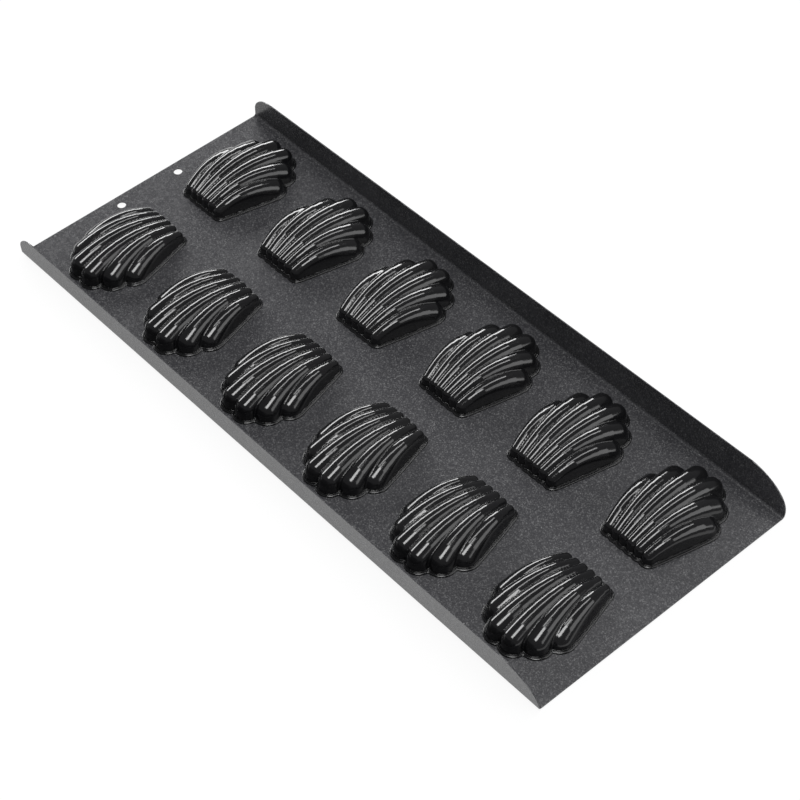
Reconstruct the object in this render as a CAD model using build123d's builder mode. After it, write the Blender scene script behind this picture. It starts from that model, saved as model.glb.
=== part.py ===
from build123d import *
import os
from math import asin, cos, pi, radians, sin, sqrt, tan

# A madeleine pan: one folded tray sheet with twelve shell-shaped cups set into it.
# It lies on its baking face, as it is stored and shown, so the cups stand up as domes and open downwards.
# X runs along the pan, away from the end with the hanging holes. Z is up, and the cups' lips lie on Z = 0.

# Tray sheet. The flanges rise and lean a little more towards the end without holes, which is the near end.
tray_length = 395.0
flat_width = 155.4
sheet = 0.6
bend_radius = 1.5
far_flange_height = 14.8
near_flange_height = 19.2
far_flange_lean = 2.0
near_flange_lean = 6.0
far_corner_length = 14.0
far_corner_height = 10.0
near_corner_length = 29.0
near_corner_height = 16.4

# Hanging holes
hole_diameter = 4.8
hole_edge_distance = 6.8
hole_spacing = 38.4

# Cups, measured over the rim, with the depth taken inside from the tray's baking face
cup_columns = 6
cup_pitch = 63.9
centre_gap = 18.8
cup_width = 50.6
cup_length = 62.2
cup_depth = 14.5
cup_sheet = 0.5
wall_draft = 5.0

# How a cup is held: the tray is gripped between the cup's lip and a bead crimped out of its wall
rim_width = 1.8
bead_height = 0.8
fit_clearance = 0.1

# A flute's second run starts this much inside the end of its first, so that their faces cross cleanly
run_step = 0.15

# Sections of a flute: how many runs between its ends, and how far round each end, as shares of its radius
crown_runs = 4
nose_shares = (0.70, 0.93)

# How far a cutting tool runs past what it cuts
overrun = 5.0

# Half of a cup's flutes, from the middle outwards. Each crown rises from the narrow end and falls to the fan end.
# Places and radii across are shares of the cup's width, places along of its length, and crowns of its depth.
# Order: across, along, radius, crown.
flute_shares = (
    ((0.0474, 0.0772, 0.0593, 0.55), (0.0721, 0.5145, 0.0988, 1.00), (0.0929, 0.8794, 0.1126, 0.72)),
    ((0.1423, 0.0788, 0.0593, 0.52), (0.2016, 0.4823, 0.0978, 0.95), (0.2411, 0.7588, 0.1304, 0.66)),
    ((0.2451, 0.0852, 0.0652, 0.47), (0.3004, 0.3537, 0.0939, 0.79), (0.3300, 0.5949, 0.1344, 0.55)),
)

draft = radians(wall_draft)


def teardrop_points(start_radius, end_radius, run):
    """Points of one side of a teardrop lying along X, from its small round tip to its large one."""
    lean = asin((end_radius - start_radius) / run)
    touch = pi / 2 + lean
    start_mid = (pi + touch) / 2
    end_mid = touch / 2
    return (
        (-start_radius, 0),
        (start_radius * cos(start_mid), start_radius * sin(start_mid)),
        (start_radius * cos(touch), start_radius * sin(touch)),
        (run + end_radius * cos(touch), end_radius * sin(touch)),
        (run + end_radius * cos(end_mid), end_radius * sin(end_mid)),
        (run + end_radius, 0),
    )


def draw_teardrop_side(start_radius, end_radius, run):
    tip, start_mid, start_touch, end_touch, end_mid, end_tip = teardrop_points(start_radius, end_radius, run)
    ThreePointArc(tip, start_mid, start_touch)
    Line(start_touch, end_touch)
    ThreePointArc(end_touch, end_mid, end_tip)
    return tip, end_tip


def flutes():
    """Every flute of a cup as its points (place, radius, crown), in the cup's own axes: X across, Y to the fan end."""
    for side in (-1, 1):
        for shares in flute_shares:
            points = []
            for across, along, radius, crown in shares:
                place = Vector(side * across * cup_width, along * cup_length)
                points.append((place, radius * cup_width, crown * cup_depth))
            yield points


def through_points(t, middle, start_value, middle_value, end_value):
    """A smooth change from start to end by way of a middle value, which it has where t is middle."""
    return (
        start_value * (t - middle) * (t - 1) / middle
        + middle_value * t * (t - 1) / (middle * (middle - 1))
        + end_value * t * (t - middle) / (1 - middle)
    )


def flute_stations():
    """Places along a flute: share of its length, and share of the radius past its end, negative before its start."""
    stations = [(0, -nose) for nose in reversed(nose_shares)]
    stations += [(run / crown_runs, 0) for run in range(crown_runs + 1)]
    return stations + [(1, nose) for nose in nose_shares]


def make_flute(points, grow, foot):
    """One flute: a round arched crown, and drafted walls from there down to the height foot."""
    (start, *start_sizes), (middle, *middle_sizes), (end, *end_sizes) = points
    along = (end - start).normalized()
    length = (end - start).length
    sideways = Vector(-along.Y, along.X)
    middle_share = (middle - start).dot(along) / length
    middle_shift = (middle - start).dot(sideways)
    with BuildPart() as flute:
        for share, past in flute_stations():
            radius, crown = (
                through_points(share, middle_share, *sizes) for sizes in zip(start_sizes, middle_sizes, end_sizes)
            )
            shift = through_points(share, middle_share, 0, middle_shift, 0)
            belly = (radius * cos(draft) - crown * sin(draft)) / (1 - sin(draft))
            centre = crown - belly
            belly += grow
            beyond = past * belly * cos(draft)
            touch_half = sqrt((belly * cos(draft)) ** 2 - beyond ** 2)
            touch_height = centre + belly * sin(draft)
            foot_half = sqrt((belly / cos(draft) + (centre - foot) * tan(draft)) ** 2 - beyond ** 2)
            top = centre + sqrt(belly ** 2 - beyond ** 2)
            place = start + along * (share * length + beyond) + sideways * shift
            with BuildSketch(Plane(origin=place, x_dir=-sideways, z_dir=-along)):
                with BuildLine():
                    Line((-foot_half, foot), (foot_half, foot))
                    Line((foot_half, foot), (touch_half, touch_height))
                    ThreePointArc((touch_half, touch_height), (0, top), (-touch_half, touch_height))
                    Line((-touch_half, touch_height), (-foot_half, foot))
                make_face()
        loft(ruled=True)
    return flute.part


def make_band(bottom, top, grow):
    """A straight-walled slab that follows the cup's outline, grown outwards."""
    with BuildPart() as band:
        for points in flutes():
            for run, ((start, start_radius, _), (end, end_radius, _)) in enumerate(zip(points, points[1:])):
                first_radius = start_radius + grow - run * run_step
                heading = end - start
                with BuildSketch(Plane(origin=(start.X, start.Y, bottom), x_dir=heading, z_dir=(0, 0, 1))):
                    with BuildLine():
                        draw_teardrop_side(first_radius, end_radius + grow, heading.length)
                        mirror(about=Plane.XZ)
                    make_face()
                extrude(amount=top - bottom)
    return band.part


# The space inside a cup, run on down past the lip
with BuildPart() as hollow:
    for flute in flutes():
        add(make_flute(flute, 0, -cup_sheet - overrun))

# One drawn cup: fluted dome, lip under the tray and bead on top of it
with BuildPart() as shell:
    for flute in flutes():
        add(make_flute(flute, cup_sheet, -cup_sheet / 2))
    add(make_band(-cup_sheet, 0, rim_width))
    add(make_band(sheet, sheet + bead_height, rim_width))
    add(hollow.part, mode=Mode.SUBTRACT)

opening = make_band(-overrun, sheet + overrun, cup_sheet + fit_clearance)


def draw_folded_sheet(height, lean):
    """Half of the tray's bent section, drawn from the middle of its upper face, with the flange upwards."""
    turn = radians(90 - lean)
    half_flat = flat_width / 2

    def on_bend(radius, angle):
        return half_flat + radius * sin(angle), bend_radius - radius * cos(angle)

    inner_foot = on_bend(bend_radius, turn)
    outer_foot = on_bend(bend_radius + sheet, turn)
    rise = (height - inner_foot[1]) / sin(turn)
    inner_tip = (inner_foot[0] + rise * cos(turn), inner_foot[1] + rise * sin(turn))
    outer_tip = (outer_foot[0] + rise * cos(turn), outer_foot[1] + rise * sin(turn))
    Line((0, 0), (half_flat, 0))
    ThreePointArc((half_flat, 0), on_bend(bend_radius, turn / 2), inner_foot)
    Line(inner_foot, inner_tip)
    Line(inner_tip, outer_tip)
    Line(outer_tip, outer_foot)
    ThreePointArc(outer_foot, on_bend(bend_radius + sheet, turn / 2), (half_flat, -sheet))
    Line((half_flat, -sheet), (0, -sheet))


# The tray's two faces: the baking face rests on the lips, and the upper face carries the beads
baking_face = cup_sheet
upper_face = cup_sheet + sheet

cup_places = []
for column in range(cup_columns):
    cup_x = (column - (cup_columns - 1) / 2) * cup_pitch
    cup_places.append((f"cup_rear_{column + 1}", cup_x, 1))
    cup_places.append((f"cup_front_{column + 1}", cup_x, -1))

tray_ends = (
    (-1, far_flange_height, far_flange_lean, far_corner_length, far_corner_height),
    (1, near_flange_height, near_flange_lean, near_corner_length, near_corner_height),
)

with BuildPart() as tray:
    for end, height, lean, _, _ in tray_ends:
        with BuildSketch(Plane(origin=(end * tray_length / 2, 0, upper_face), x_dir=(0, 1, 0), z_dir=(1, 0, 0))):
            with BuildLine():
                draw_folded_sheet(height, lean)
                mirror(about=Plane.YZ)
            make_face()
    loft(ruled=True)
    # The flanges' top corners are rounded off at both ends
    for end, height, _, round_length, round_height in tray_ends:
        centre_x = end * (tray_length / 2 - round_length)
        centre_z = upper_face + height - round_height
        with BuildSketch(Plane(origin=(centre_x, 0, centre_z), x_dir=(end, 0, 0), z_dir=(0, -end, 0))):
            Rectangle(round_length + overrun, round_height + overrun, align=(Align.MIN, Align.MIN))
            Ellipse(round_length, round_height, mode=Mode.SUBTRACT)
        extrude(amount=tray_length, both=True, mode=Mode.SUBTRACT)
    with BuildSketch(Plane.XY.offset(upper_face + overrun)):
        with Locations((hole_edge_distance - tray_length / 2, 0)):
            with GridLocations(0, hole_spacing, 1, 2):
                Circle(hole_diameter / 2)
    extrude(amount=-sheet - 2 * overrun, mode=Mode.SUBTRACT)
    for name, cup_x, side in cup_places:
        with Locations(Plane(origin=(cup_x, side * centre_gap / 2, baking_face), x_dir=(side, 0, 0))):
            add(opening, mode=Mode.SUBTRACT)

os.makedirs("parts", exist_ok=True)

tray.part.label = "tray"
export_step(tray.part, "parts/tray.step")

for name, cup_x, side in cup_places:
    with BuildPart(Plane(origin=(cup_x, side * centre_gap / 2, baking_face), x_dir=(side, 0, 0))) as cup:
        add(shell.part)
    cup.part.label = name
    export_step(cup.part, f"parts/{name}.step")
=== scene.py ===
from math import cos, hypot, pi, radians, sin, sqrt

import bpy
import numpy as np
from mathutils import Matrix, Vector


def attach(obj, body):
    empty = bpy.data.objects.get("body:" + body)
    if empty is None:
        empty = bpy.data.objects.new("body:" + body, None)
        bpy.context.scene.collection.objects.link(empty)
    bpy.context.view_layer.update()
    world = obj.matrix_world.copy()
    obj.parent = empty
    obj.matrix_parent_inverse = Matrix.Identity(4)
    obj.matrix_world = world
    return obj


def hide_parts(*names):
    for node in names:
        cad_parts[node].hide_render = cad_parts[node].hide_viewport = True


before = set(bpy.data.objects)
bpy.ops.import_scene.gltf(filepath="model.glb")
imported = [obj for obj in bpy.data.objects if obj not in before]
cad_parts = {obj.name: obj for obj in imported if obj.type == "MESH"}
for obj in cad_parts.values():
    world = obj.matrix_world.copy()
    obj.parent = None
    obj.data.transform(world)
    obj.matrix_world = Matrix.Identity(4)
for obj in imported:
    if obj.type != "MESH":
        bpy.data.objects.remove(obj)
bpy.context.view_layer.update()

MM = 0.001

# Sizes that the model's source gives, in millimetres
CUP_COLUMNS = 6
CUP_PITCH = 63.9
CENTRE_GAP = 18.8
CUP_WIDTH = 50.6
CUP_LENGTH = 62.2
CUP_DEPTH = 14.5
CUP_SHEET = 0.5
TRAY_SHEET = 0.6
WALL_DRAFT = radians(5)
RIM_WIDTH = 1.8
BEAD_HEIGHT = 0.8
FLUTE_KEYS = (
    ((0.0474, 0.0772, 0.0593, 0.55), (0.0721, 0.5145, 0.0988, 1.00), (0.0929, 0.8794, 0.1126, 0.72)),
    ((0.1423, 0.0788, 0.0593, 0.52), (0.2016, 0.4823, 0.0978, 0.95), (0.2411, 0.7588, 0.1304, 0.66)),
    ((0.2451, 0.0852, 0.0652, 0.47), (0.3004, 0.3537, 0.0939, 0.79), (0.3300, 0.5949, 0.1344, 0.55)),
)

# Detail of the cups' mesh
FLUTE_RUNS = 8
CELL = 0.53
CREASE_SOFTNESS = 0.10
PROJECT_STEPS = 2
GRID_BATCH = 200000
NET_MARGIN = 1.3
CUP_MIDDLE = 30.0
NEAREST_RIM = 5.0
FARTHEST_RIM = 45.0
RIM_HALVINGS = 22
RIM_SOFTNESS = 0.25

SIN_DRAFT, COS_DRAFT = sin(WALL_DRAFT), cos(WALL_DRAFT)


# The cup's shape is worked out in its own axes: X across, Y towards the fan end, Z up from the baking face

def flute_chains():
    """The flutes of the half with x above zero, and after the first its mirror image across the middle.

    Each is a chain of points (x, y, height of the centre, radius) along its arched crown.
    """
    chains = []
    for keys in FLUTE_KEYS:
        keys = np.array(keys) * (CUP_WIDTH, CUP_LENGTH, CUP_WIDTH, CUP_DEPTH)
        middle = (keys[1, 1] - keys[0, 1]) / (keys[2, 1] - keys[0, 1])
        t = np.linspace(0, 1, FLUTE_RUNS + 1)
        x, y, radius, crown = (np.polyval(np.polyfit((0, middle, 1), keys[:, k], 2), t) for k in range(4))
        belly = (radius * COS_DRAFT - crown * SIN_DRAFT) / (1 - SIN_DRAFT)
        chains.append(np.stack((x, y, crown - belly, belly), 1))
    return chains[:1] + [chains[0] * (-1, 1, 1, 1)] + chains[1:]


CHAINS = flute_chains()


def flute_distance(points, chain):
    """Distance to one flute: balls strung along its crown, with walls leaning out from there down."""
    best = np.full(len(points), 1e3)
    for a, b in zip(chain[:-1], chain[1:]):
        run = b[:3] - a[:3]
        length = sqrt(run @ run)
        growth = (b[3] - a[3]) / length
        offset = points - a[:3]
        along = offset @ (run / length)
        aside = np.sqrt(np.maximum((offset ** 2).sum(1) - along ** 2, 0))
        t_ball = np.clip((along + aside * growth / sqrt(1 - growth ** 2)) / length, 0, 1)
        flat = hypot(run[0], run[1])
        along = offset[:, :2] @ (run[:2] / flat)
        aside = np.sqrt(np.maximum((offset[:, :2] ** 2).sum(1) - along ** 2, 0))
        slope = (b[3] - a[3] + run[2] * SIN_DRAFT) / (COS_DRAFT * flat)
        t_wall = np.clip((along + aside * slope / sqrt(1 - slope ** 2)) / flat, 0, 1)
        for t in (t_ball, t_wall):
            rise = offset[:, 2] - t * run[2]
            out = np.hypot(offset[:, 0] - t * run[0], offset[:, 1] - t * run[1])
            ball = np.sqrt(out ** 2 + rise ** 2)
            wall = out * COS_DRAFT + rise * SIN_DRAFT
            nearest = np.where(rise * COS_DRAFT >= out * SIN_DRAFT, ball, wall)
            best = np.minimum(best, nearest - a[3] - t * (b[3] - a[3]))
    return best


def cup_distance(points, grow, softness=CREASE_SOFTNESS):
    """Distance to all flutes together, with their creases softened a little, as drawn sheet has them."""
    folded = np.column_stack((np.abs(points[:, 0]), points[:, 1:]))
    each = np.stack([flute_distance(folded, chain) for chain in CHAINS])
    nearest = each.min(0)
    return nearest - softness * np.log(np.exp((nearest - each) / softness).sum(0)) - grow


def cup_slope(points, grow, step=0.02):
    """Direction in which the distance grows fastest."""
    slope = np.empty_like(points)
    for axis in range(3):
        shift = np.zeros(3)
        shift[axis] = step
        slope[:, axis] = cup_distance(points + shift, grow) - cup_distance(points - shift, grow)
    return slope / np.linalg.norm(slope, axis=1)[:, None]


def surface_net(low, high, cell):
    """A quad mesh over the cup's outer skin, one point in each cell that the skin passes, open below."""
    axes = [np.arange(low[k], high[k] + cell, cell) for k in range(3)]
    shape = tuple(len(a) for a in axes)
    grid = np.stack(np.meshgrid(*axes, indexing="ij"), -1).reshape(-1, 3)
    value = np.empty(len(grid))
    for start in range(0, len(grid), GRID_BATCH):
        part = slice(start, start + GRID_BATCH)
        value[part] = cup_distance(grid[part], CUP_SHEET)
    value = value.reshape(shape)
    inside = value < 0
    corners = np.stack([inside[i:shape[0] - 1 + i, j:shape[1] - 1 + j, k:shape[2] - 1 + k]
                        for i in (0, 1) for j in (0, 1) for k in (0, 1)])
    crossed = corners.any(0) & ~corners.all(0)
    number = np.full(crossed.shape, -1)
    cells = np.argwhere(crossed)
    number[tuple(cells.T)] = np.arange(len(cells))
    total, count = np.zeros((len(cells), 3)), np.zeros(len(cells))
    for axis in range(3):
        others = [k for k in range(3) if k != axis]
        for i in (0, 1):
            for j in (0, 1):
                near = cells.copy()
                near[:, others[0]] += i
                near[:, others[1]] += j
                far = near.copy()
                far[:, axis] += 1
                v0, v1 = value[tuple(near.T)], value[tuple(far.T)]
                cut = (v0 < 0) != (v1 < 0)
                share = v0[cut] / (v0[cut] - v1[cut])
                spot = near[cut].astype(float)
                spot[:, axis] += share
                total[cut] += spot
                count[cut] += 1
    points = np.array(low) + cell * total / count[:, None]
    quads = []
    for axis in range(3):
        a, b = (axis + 1) % 3, (axis + 2) % 3
        near = [slice(1, shape[k] - 1) for k in range(3)]
        near[axis] = slice(0, shape[axis] - 1)
        far = list(near)
        far[axis] = slice(1, shape[axis])
        leaving = inside[tuple(near)] & ~inside[tuple(far)]
        entering = ~inside[tuple(near)] & inside[tuple(far)]
        for flag, order in ((leaving, 1), (entering, -1)):
            base = np.argwhere(flag)
            for k in (a, b):
                base[:, k] += 1
            ring = []
            for i, j in ((0, 0), (-1, 0), (-1, -1), (0, -1)):
                cell_at = base.copy()
                cell_at[:, a] += i
                cell_at[:, b] += j
                ring.append(number[tuple(cell_at.T)])
            quads.append(np.stack(ring[::order], 1))
    quads = np.concatenate(quads)
    quads = quads[(quads >= 0).all(1)]
    for _ in range(PROJECT_STEPS):
        points -= cup_slope(points, CUP_SHEET) * cup_distance(points, CUP_SHEET)[:, None]
    return points, quads


def ring_at(angles, reach, height):
    return np.stack((reach * np.cos(angles), CUP_MIDDLE + reach * np.sin(angles), np.full(len(angles), height)), 1)


def plan_radius(angles, height, grow):
    """How far the cup's outline reaches from its middle at each angle, at a height and grown outwards."""
    low, high = np.full(len(angles), NEAREST_RIM), np.full(len(angles), FARTHEST_RIM)
    for _ in range(RIM_HALVINGS):
        middle = (low + high) / 2
        inside = cup_distance(ring_at(angles, middle, height), grow, RIM_SOFTNESS) < 0
        low, high = np.where(inside, middle, low), np.where(inside, high, middle)
    return (low + high) / 2


def boundary_loop(quads):
    """The open edge of a quad mesh, as point numbers in order."""
    following = {}
    edges = np.concatenate([quads[:, (k, (k + 1) % 4)] for k in range(4)])
    known = {(a, b) for a, b in edges.tolist()}
    for a, b in known:
        if (b, a) not in known:
            following[b] = a
    start = next(iter(following))
    loop, here = [start], following[start]
    while here != start:
        loop.append(here)
        here = following[here]
    return loop


def build_cup():
    """One cup as a closed sheet: outer skin, bead, neck through the tray, lip, and inner skin."""
    foot = TRAY_SHEET + BEAD_HEIGHT
    low = (-CUP_WIDTH / 2 - 1.1, -NET_MARGIN, foot)
    high = (CUP_WIDTH / 2 + 1.1, CUP_LENGTH + NET_MARGIN, CUP_DEPTH + 2.0)
    points, quads = surface_net(low, high, CELL)
    used = np.unique(quads)
    renumber = np.full(len(points), -1)
    renumber[used] = np.arange(len(used))
    points, quads = points[used], renumber[quads]
    loop = boundary_loop(quads)
    edge = points[loop]
    angles = np.arctan2(edge[:, 1] - CUP_MIDDLE, edge[:, 0])
    inner = points - cup_slope(points, CUP_SHEET) * CUP_SHEET
    # Profile of the seam, from the outer skin round to the inner one: how far out from the cavity, and how high
    seam = [(CUP_SHEET, foot + 0.35), (CUP_SHEET + 0.02, foot + 0.12), (CUP_SHEET + 0.10, foot - 0.06)]
    crest = RIM_WIDTH - CUP_SHEET
    for k in range(9):
        turn = pi * (0.86 - 0.86 * k / 8)
        seam.append((CUP_SHEET + 0.14 + (crest - 0.14) * (1 + cos(turn)) / 2,
                     TRAY_SHEET + 0.22 + (BEAD_HEIGHT - 0.22) * sin(turn) ** 0.8))
    seam += [(RIM_WIDTH, TRAY_SHEET + 0.02), (CUP_SHEET + 0.1, TRAY_SHEET + 0.02), (CUP_SHEET, TRAY_SHEET - 0.1),
             (CUP_SHEET, 0.1), (CUP_SHEET + 0.1, 0.0), (RIM_WIDTH - 0.2, 0.0), (RIM_WIDTH, -0.15),
             (RIM_WIDTH, -CUP_SHEET + 0.15), (RIM_WIDTH - 0.15, -CUP_SHEET), (0.75, -CUP_SHEET)]
    for k in range(1, 6):
        turn = pi / 2 * k / 5
        seam.append((0.75 - 0.75 * sin(turn), -CUP_SHEET + 0.75 * (1 - cos(turn))))
    seam += [(0.0, 0.7), (0.0, foot - 0.3)]
    rings = []
    for out, height in seam:
        reach = plan_radius(angles, max(height, 0.0), out)
        rings.append(ring_at(angles, reach, height))
    n = len(points)
    all_points = np.concatenate([points, inner] + rings)
    faces = quads.tolist() + (quads[:, ::-1] + n).tolist()
    size = len(loop)
    numbers = [list(loop)]
    numbers += [list(range(2 * n + k * size, 2 * n + (k + 1) * size)) for k in range(len(rings))]
    numbers.append([v + n for v in loop])
    for first, second in zip(numbers[:-1], numbers[1:]):
        for k in range(size):
            m = (k + 1) % size
            faces.append((first[k], first[m], second[m], second[k]))
    return all_points, faces


BAKING_FACE = CUP_SHEET
CAMERA_LIFT = CUP_SHEET + TRAY_SHEET

# The floor, in metres, just under the pan's lips
FLOOR_REACH = 6.0
FLOOR_HEIGHT = -0.0002


def new_material(name):
    material = bpy.data.materials.new(name)
    material.use_nodes = True
    nodes, links = material.node_tree.nodes, material.node_tree.links
    shader = nodes["Principled BSDF"]
    place = nodes.new("ShaderNodeTexCoord").outputs["Object"]
    return material, nodes, links, shader, place


def noise(nodes, links, place, scale, detail, roughness=0.5):
    texture = nodes.new("ShaderNodeTexNoise")
    texture.inputs["Scale"].default_value = scale
    texture.inputs["Detail"].default_value = detail
    texture.inputs["Roughness"].default_value = roughness
    links.new(place, texture.inputs["Vector"])
    return texture.outputs["Fac"]


def ramp(nodes, links, fac, *stops):
    blend = nodes.new("ShaderNodeValToRGB")
    band = blend.color_ramp
    while len(band.elements) < len(stops):
        band.elements.new(0.5)
    for element, (spot, level) in zip(band.elements, stops):
        element.position = spot
        element.color = (*level, 1) if isinstance(level, tuple) else (level, level, level, 1)
    links.new(fac, blend.inputs["Fac"])
    return blend.outputs["Color"]


def bump(nodes, links, height, strength, distance, under=None):
    node = nodes.new("ShaderNodeBump")
    node.inputs["Strength"].default_value = strength
    node.inputs["Distance"].default_value = distance
    links.new(height, node.inputs["Height"])
    if under:
        links.new(under, node.inputs["Normal"])
    return node.outputs["Normal"]


def mix_colour(nodes, links, kind, fac, first, second):
    node = nodes.new("ShaderNodeMix")
    node.data_type = "RGBA"
    node.blend_type = kind
    node.inputs["Factor"].default_value = fac
    links.new(first, node.inputs["A"])
    links.new(second, node.inputs["B"])
    return node.outputs["Result"]


def tray_coating():
    """Satin dark grey non-stick coating, full of tiny pale grains."""
    material, nodes, links, shader, place = new_material("tray_coating_satin")
    clouds = ramp(nodes, links, noise(nodes, links, place, 22, 4),
                  (0.3, (0.023, 0.023, 0.026)), (0.7, (0.033, 0.033, 0.036)))
    grains = ramp(nodes, links, noise(nodes, links, place, 1450, 3, 0.7), (0.48, 0.0), (0.56, 0.020), (0.68, 0.12))
    links.new(mix_colour(nodes, links, "ADD", 1.0, clouds, grains), shader.inputs["Base Color"])
    sheen = ramp(nodes, links, noise(nodes, links, place, 400, 5, 0.6), (0.3, 0.22), (0.7, 0.31))
    links.new(sheen, shader.inputs["Roughness"])
    coarse = bump(nodes, links, noise(nodes, links, place, 60, 2), 0.08, 0.0006)
    fine = bump(nodes, links, noise(nodes, links, place, 1300, 4, 0.7), 0.35, 0.00006, coarse)
    links.new(fine, shader.inputs["Normal"])
    shader.inputs["IOR"].default_value = 1.45
    return material


def cup_coating():
    """Glossy near-black coating, a little uneven where it ran over the flutes."""
    material, nodes, links, shader, place = new_material("cup_coating_gloss")
    clouds = ramp(nodes, links, noise(nodes, links, place, 35, 4),
                  (0.3, (0.0035, 0.0035, 0.004)), (0.7, (0.007, 0.007, 0.0075)))
    links.new(clouds, shader.inputs["Base Color"])
    sheen = ramp(nodes, links, noise(nodes, links, place, 160, 5, 0.6), (0.3, 0.10), (0.7, 0.16))
    links.new(sheen, shader.inputs["Roughness"])
    coarse = bump(nodes, links, noise(nodes, links, place, 45, 1), 0.03, 0.0006)
    fine = bump(nodes, links, noise(nodes, links, place, 900, 2, 0.5), 0.02, 0.00002, coarse)
    links.new(fine, shader.inputs["Normal"])
    shader.inputs["IOR"].default_value = 1.50
    return material


def cup_tree(material):
    """Geometry Nodes that set one cup in its place on the tray, by its column and its row."""
    tree = bpy.data.node_groups.new("cup_setting", "GeometryNodeTree")
    face = tree.interface
    sockets = {}
    sockets["Geometry"] = face.new_socket("Geometry", in_out="INPUT", socket_type="NodeSocketGeometry")
    for name in ("Column", "Columns", "Side", "Pitch", "Centre gap", "Baking face"):
        sockets[name] = face.new_socket(name, in_out="INPUT", socket_type="NodeSocketFloat")
    face.new_socket("Geometry", in_out="OUTPUT", socket_type="NodeSocketGeometry")
    nodes, links = tree.nodes, tree.links
    entry, leave = nodes.new("NodeGroupInput"), nodes.new("NodeGroupOutput")

    def sum_of(operation, first, second):
        node = nodes.new("ShaderNodeMath")
        node.operation = operation
        for socket, value in zip(node.inputs, (first, second)):
            if isinstance(value, (int, float)):
                socket.default_value = value
            else:
                links.new(value, socket)
        return node.outputs[0]

    given = entry.outputs
    middle = sum_of("DIVIDE", sum_of("SUBTRACT", given["Columns"], 1), 2)
    x = sum_of("MULTIPLY", sum_of("SUBTRACT", given["Column"], middle), given["Pitch"])
    y = sum_of("MULTIPLY", sum_of("DIVIDE", given["Centre gap"], 2), given["Side"])
    turn = sum_of("MULTIPLY", sum_of("SUBTRACT", 1, given["Side"]), pi / 2)
    spot, spin = nodes.new("ShaderNodeCombineXYZ"), nodes.new("ShaderNodeCombineXYZ")
    for value, socket in zip((x, y, given["Baking face"]), spot.inputs):
        links.new(value, socket)
    links.new(turn, spin.inputs["Z"])
    instance = nodes.new("GeometryNodeGeometryToInstance")
    links.new(given["Geometry"], instance.inputs[0])
    move = nodes.new("GeometryNodeTransform")
    links.new(instance.outputs[0], move.inputs["Geometry"])
    links.new(spot.outputs[0], move.inputs["Translation"])
    links.new(spin.outputs[0], move.inputs["Rotation"])
    realize, paint = nodes.new("GeometryNodeRealizeInstances"), nodes.new("GeometryNodeSetMaterial")
    links.new(move.outputs[0], realize.inputs[0])
    links.new(realize.outputs[0], paint.inputs["Geometry"])
    paint.inputs["Material"].default_value = material
    links.new(paint.outputs[0], leave.inputs[0])
    return tree, {name: socket.identifier for name, socket in sockets.items()}


def set_cups(material):
    """Twelve cups from one pattern, each a piece of its own that stands for its node."""
    points, faces = build_cup()
    pattern = bpy.data.meshes.new("cup_pattern")
    pattern.from_pydata((points * MM).tolist(), [], faces)
    pattern.update()
    tree, inputs = cup_tree(material)
    for column in range(CUP_COLUMNS):
        for row, side in (("rear", 1), ("front", -1)):
            holder = bpy.data.objects.new("holder", pattern)
            bpy.context.scene.collection.objects.link(holder)
            setting = holder.modifiers.new("setting", "NODES")
            setting.node_group = tree
            sizes = {"Column": column, "Columns": CUP_COLUMNS, "Side": side, "Pitch": CUP_PITCH * MM,
                     "Centre gap": CENTRE_GAP * MM, "Baking face": BAKING_FACE * MM}
            for name, value in sizes.items():
                setting[inputs[name]] = float(value)
            evaluated = holder.evaluated_get(bpy.context.evaluated_depsgraph_get())
            mesh = bpy.data.meshes.new_from_object(evaluated)
            holder.modifiers.remove(setting)
            bpy.data.objects.remove(holder)
            mesh.shade_smooth()
            cup = bpy.data.objects.new(f"fluted_cup_{row}_{column + 1}", mesh)
            bpy.context.scene.collection.objects.link(cup)
            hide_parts(f"cup_{row}_{column + 1}")
            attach(cup, "root")


def make_floor():
    mesh = bpy.data.meshes.new("floor")
    corners = ((-1, -1), (1, -1), (1, 1), (-1, 1))
    mesh.from_pydata([(x * FLOOR_REACH, y * FLOOR_REACH, FLOOR_HEIGHT) for x, y in corners], [], [(0, 1, 2, 3)])
    floor = bpy.data.objects.new("floor", mesh)
    bpy.context.scene.collection.objects.link(floor)
    material = bpy.data.materials.new("floor_white")
    material.use_nodes = True
    nodes, links = material.node_tree.nodes, material.node_tree.links
    shader, output = nodes["Principled BSDF"], nodes["Material Output"]
    shader.inputs["Base Color"].default_value = (0.86, 0.86, 0.86, 1)
    shader.inputs["Roughness"].default_value = 0.9
    shader.inputs["Specular IOR Level"].default_value = 0.0
    glow = nodes.new("ShaderNodeEmission")
    glow.inputs["Strength"].default_value = 1.0
    rays = nodes.new("ShaderNodeLightPath")
    seen = nodes.new("ShaderNodeMath")
    seen.operation = "MAXIMUM"
    links.new(rays.outputs["Is Camera Ray"], seen.inputs[0])
    links.new(rays.outputs["Is Glossy Ray"], seen.inputs[1])
    either = nodes.new("ShaderNodeMath")
    either.operation = "MAXIMUM"
    links.new(seen.outputs[0], either.inputs[0])
    links.new(rays.outputs["Is Transmission Ray"], either.inputs[1])
    share = nodes.new("ShaderNodeMath")
    share.operation = "MULTIPLY"
    share.inputs[1].default_value = 0.90
    links.new(either.outputs[0], share.inputs[0])
    mix = nodes.new("ShaderNodeMixShader")
    links.new(share.outputs[0], mix.inputs["Fac"])
    links.new(shader.outputs[0], mix.inputs[1])
    links.new(glow.outputs[0], mix.inputs[2])
    links.new(mix.outputs[0], output.inputs["Surface"])
    mesh.materials.append(material)


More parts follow.
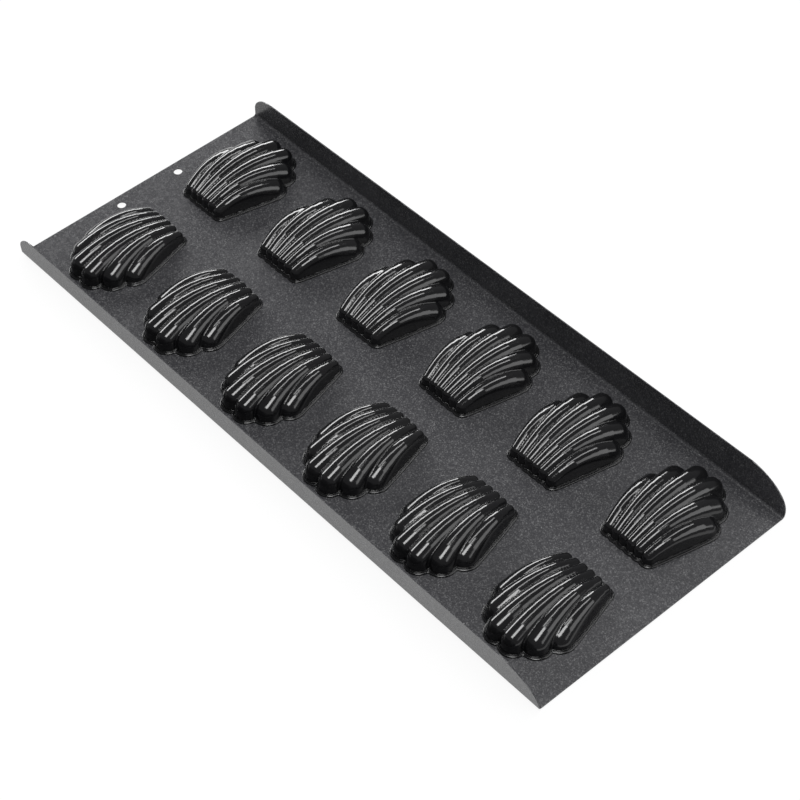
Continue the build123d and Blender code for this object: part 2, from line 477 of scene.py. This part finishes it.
def soft_box(name, place, size, power):
    """An area lamp aimed at the pan, with its long side across the pan's length."""
    lamp = bpy.data.lights.new(name, "AREA")
    lamp.shape = "RECTANGLE"
    lamp.size, lamp.size_y = size
    lamp.energy = power
    holder = bpy.data.objects.new(name, lamp)
    back = Vector(place).normalized()
    long_side = (Vector((0, 1, 0)) - back * back.y).normalized()
    turn = Matrix((long_side, back.cross(long_side), back)).transposed().to_4x4()
    holder.matrix_world = Matrix.Translation(place) @ turn
    bpy.context.scene.collection.objects.link(holder)


def light_stage():
    world = bpy.data.worlds.new("studio")
    world.use_nodes = True
    world.node_tree.nodes["Background"].inputs["Color"].default_value = (0.20, 0.20, 0.205, 1)
    bpy.context.scene.world = world
    soft_box("side_strip", (-1.90, 0.65, 0.80), (2.5, 0.50), 46)
    soft_box("top_strip", (-0.30, 0.80, 2.20), (2.2, 0.38), 21)
    soft_box("zenith_box", (0.45, -0.50, 2.10), (0.9, 0.7), 24)
    soft_box("near_sheet", (1.50, 0.90, 1.10), (1.8, 1.0), 14)


def set_camera():
    """The photograph's viewpoint, found from the tray's straight edges and corners."""
    azimuth, elevation, roll = radians(51.06), radians(48.11), radians(-3.26)
    back = Vector((sin(azimuth) * cos(elevation), -cos(azimuth) * cos(elevation), sin(elevation)))
    right = Vector((cos(azimuth), sin(azimuth), 0))
    up = back.cross(right)
    across, upright = right * cos(roll) + up * sin(roll), up * cos(roll) - right * sin(roll)
    place = (back * 1153.6 + right * 8.93 - up * 11.99 + Vector((0, 0, CAMERA_LIFT))) * MM
    camera = bpy.data.cameras.new("photo_camera")
    camera.sensor_width, camera.lens = 36, 103.98
    camera.clip_start, camera.clip_end = 0.01, 50
    holder = bpy.data.objects.new("photo_camera", camera)
    turn = Matrix((across, upright, back)).transposed().to_4x4()
    holder.matrix_world = Matrix.Translation(place) @ turn
    bpy.context.scene.collection.objects.link(holder)
    bpy.context.scene.camera = holder


set_camera()
make_floor()
light_stage()
tray_finish, cup_finish = tray_coating(), cup_coating()
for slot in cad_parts["tray"].material_slots:
    slot.material = tray_finish
set_cups(cup_finish)
bpy.context.scene.view_settings.view_transform = "Standard"
